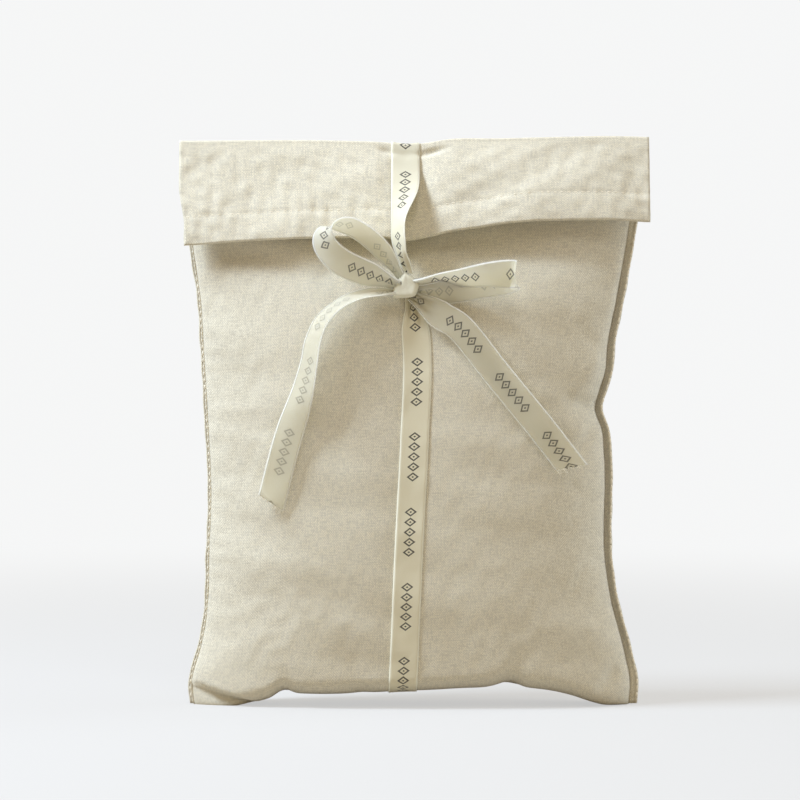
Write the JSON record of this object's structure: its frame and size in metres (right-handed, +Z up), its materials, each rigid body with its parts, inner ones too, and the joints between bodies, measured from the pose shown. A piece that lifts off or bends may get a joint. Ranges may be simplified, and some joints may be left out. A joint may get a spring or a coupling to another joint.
{
  "type": "envelope pouch",
  "caption": "Unbleached canvas envelope pouch with a filled belly and a hemmed fold-over flap, tied shut with a flat woven tape in a bow.",
  "frame": {"origin": "on the floor, under the middle of the tied pouch", "axes": "+Z up to the top fold, +X to the right seen from the front, -Y towards the side with the flap and the bow"},
  "size_m": [0.199, 0.0619, 0.24],
  "materials": {
    "canvas": "unbleached plain-weave cotton canvas, matte, with slubs and flecks",
    "woven_tape": "fine twill cotton tape, soft sheen, with small dark printed lozenges"
  },
  "bodies": {
    "pouch": {"front_panel": "canvas", "back_panel": "canvas", "bottom_fold": "canvas", "left_side_seam": "canvas", "right_side_seam": "canvas", "front_mouth_hem": "canvas", "tape_front_run": "woven_tape", "tape_under_run": "woven_tape", "tape_back_run": "woven_tape"},
    "flap": {"flap_panel": "canvas", "flap_hem": "canvas"},
    "tie": {"tape_flap_run": "woven_tape", "bow_knot": "woven_tape", "left_loop": "woven_tape", "right_loop": "woven_tape"},
    "left_tail": {"left_tail": "woven_tape"},
    "right_tail": {"right_tail": "woven_tape"}
  },
  "joints": [
    {"name": "flap_fold", "type": "hinge", "parent": "pouch", "child": "flap", "pos_m": [0, 0.0045, 0.241], "axis": [-1, 0, 0], "range_deg": [0, 200]},
    {"name": "tie_lift", "type": "hinge", "parent": "pouch", "child": "tie", "pos_m": [0, 0.0045, 0.241], "axis": [-1, 0, 0], "range_deg": [0, 200]},
    {"name": "left_tail_lift", "type": "hinge", "parent": "tie", "child": "left_tail", "pos_m": [-0.0078, -0.0165, 0.1746], "axis": [-0.8608, 0, 0.5089], "range_deg": [0, 40]},
    {"name": "right_tail_lift", "type": "hinge", "parent": "tie", "child": "right_tail", "pos_m": [0.0001, -0.0161, 0.1727], "axis": [-0.7413, 0, -0.6712], "range_deg": [0, 60]}
  ],
  "couplings": [
    {"joint": "tie_lift", "follows": "flap_fold", "ratio": 1}
  ]
}
